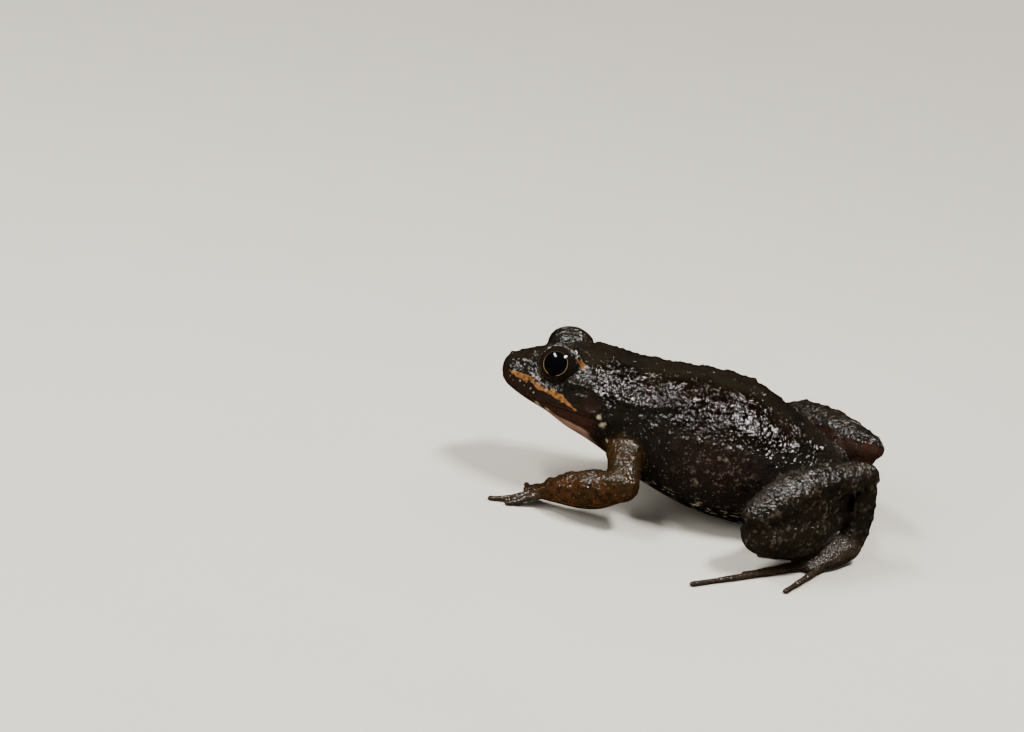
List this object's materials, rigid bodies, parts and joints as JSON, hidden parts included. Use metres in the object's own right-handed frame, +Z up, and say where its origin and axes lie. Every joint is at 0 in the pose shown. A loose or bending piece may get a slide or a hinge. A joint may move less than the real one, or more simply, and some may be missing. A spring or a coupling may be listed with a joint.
{
  "type": "tropical bullfrog museum model",
  "caption": "Still life-size model of a small dark tropical bullfrog sitting with its head raised, arms propped and hind legs folded.",
  "frame": {"origin": "middle of the model's box, on the floor that it rests on", "axes": "+Z up; the frog faces -Y and its left side is towards +X"},
  "size_m": [0.0376, 0.0354, 0.0138],
  "materials": {
    "skin_dark": "wet, finely granular blackish-brown skin with pale flecks",
    "skin_brown": "wet dark brown skin of the thighs with a smooth red-brown rear face",
    "arm_rust": "wet rusty orange-brown skin with gold-cream speckles",
    "digit_brown": "glossy brown skin of hands, feet and digits",
    "eye_black": "polished black eye with a thin golden ring",
    "eardrum_red": "thin smooth reddish-brown eardrum"
  },
  "bodies": {
    "root": {"head": "skin_dark", "torso": "skin_dark", "eye_left": "eye_black", "tympanum_left": "eardrum_red", "upper_arm_left": "arm_rust", "forearm_left": "arm_rust", "hand_left": "digit_brown", "finger_1_left": "digit_brown", "finger_2_left": "digit_brown", "finger_3_left": "digit_brown", "finger_4_left": "digit_brown", "thigh_left": "skin_brown", "shank_left": "skin_dark", "tarsus_left": "skin_dark", "foot_left": "digit_brown", "toe_1_left": "digit_brown", "toe_2_left": "digit_brown", "toe_3_left": "digit_brown", "toe_4_left": "digit_brown", "toe_5_left": "digit_brown", "eye_right": "eye_black", "tympanum_right": "eardrum_red", "upper_arm_right": "arm_rust", "forearm_right": "arm_rust", "hand_right": "digit_brown", "finger_1_right": "digit_brown", "finger_2_right": "digit_brown", "finger_3_right": "digit_brown", "finger_4_right": "digit_brown", "thigh_right": "skin_brown", "shank_right": "skin_dark", "tarsus_right": "skin_dark", "foot_right": "digit_brown", "toe_1_right": "digit_brown", "toe_2_right": "digit_brown", "toe_3_right": "digit_brown", "toe_4_right": "digit_brown", "toe_5_right": "digit_brown"}
  },
  "joints": []
}
